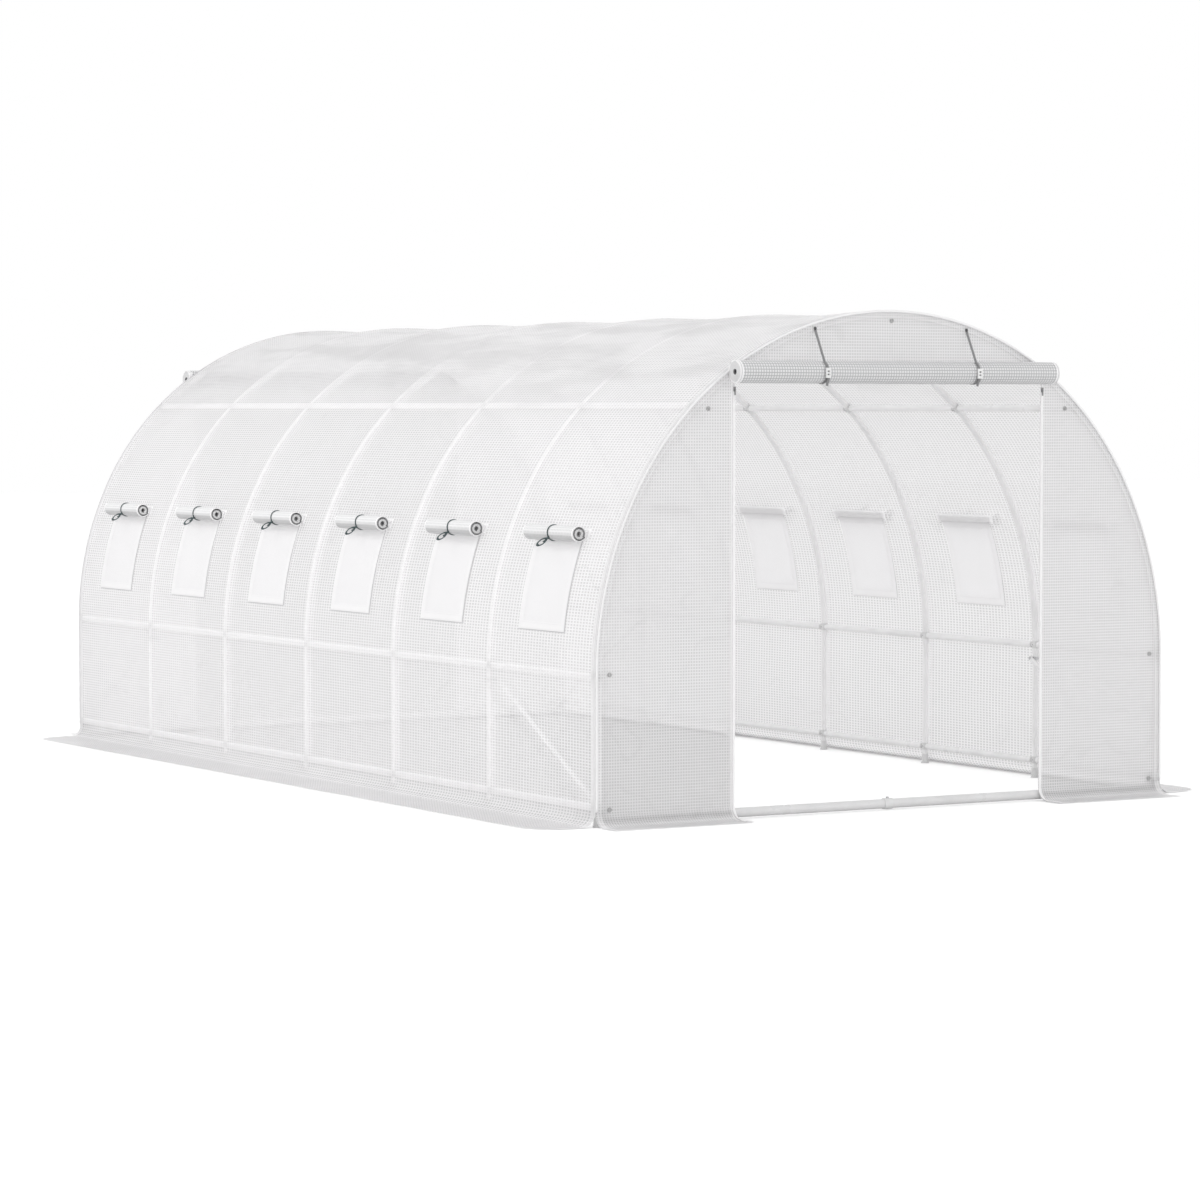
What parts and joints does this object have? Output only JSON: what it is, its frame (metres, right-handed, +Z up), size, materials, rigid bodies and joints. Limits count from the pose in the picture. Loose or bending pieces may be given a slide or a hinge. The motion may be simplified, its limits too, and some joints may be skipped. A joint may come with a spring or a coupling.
{
  "type": "polytunnel greenhouse",
  "caption": "Walk-in polytunnel greenhouse: tube hoops and purlins under a translucent mesh film with ground skirts, rolled-up side windows and a rolled-up door in each end.",
  "frame": {"origin": "on the ground at the middle of the tunnel, at the bottom centre of its box", "axes": "+Y along the tunnel towards the rear door, +X across it, +Z up; the pictured front door is at -Y"},
  "size_m": [3.5806, 5.8656, 2.2058],
  "materials": {
    "tube_white": "satin white coating",
    "fitting_white": "moulded white",
    "zinc": "zinc plated",
    "film": "translucent film with a thread grid",
    "window_mesh": "fine white screen",
    "rolled_film": "rolled film with white binding",
    "white_tape": "woven tape",
    "tie_cord": "thin cord",
    "grey_webbing": "woven webbing",
    "buckle_white": "moulded white",
    "dark_metal": "dark slider",
    "toggle_grey": "moulded grey"
  },
  "bodies": {
    "root": {"hoop_1": "tube_white", "hoop_2": "tube_white", "hoop_3": "tube_white", "hoop_4": "tube_white", "hoop_5": "tube_white", "hoop_6": "tube_white", "hoop_7": "tube_white", "lower_legs": "tube_white", "middle_purlins": "tube_white", "upper_purlins": "tube_white", "base_rails": "tube_white", "door_sills": "tube_white", "braces": "tube_white", "foot_caps": "fitting_white", "middle_collars": "fitting_white", "upper_collars": "fitting_white", "base_collars": "fitting_white", "sill_sleeves": "fitting_white", "sill_bolts": "zinc", "brace_clips": "zinc", "left_wall_film": "film", "right_wall_film": "film", "left_window_film": "film", "right_window_film": "film", "left_roof_film": "film", "right_roof_film": "film", "left_skirt": "film", "right_skirt": "film", "front_left_panel": "film", "front_right_panel": "film", "front_gable": "film", "rear_left_panel": "film", "rear_right_panel": "film", "rear_gable": "film", "edge_bands": "white_tape", "window_screens": "window_mesh", "window_rolls": "rolled_film", "window_ties": "tie_cord", "door_rolls": "rolled_film", "door_straps": "grey_webbing", "strap_buckles": "buckle_white", "door_zips": "white_tape", "zip_sliders": "dark_metal", "end_fasteners": "toggle_grey"}
  },
  "joints": []
}
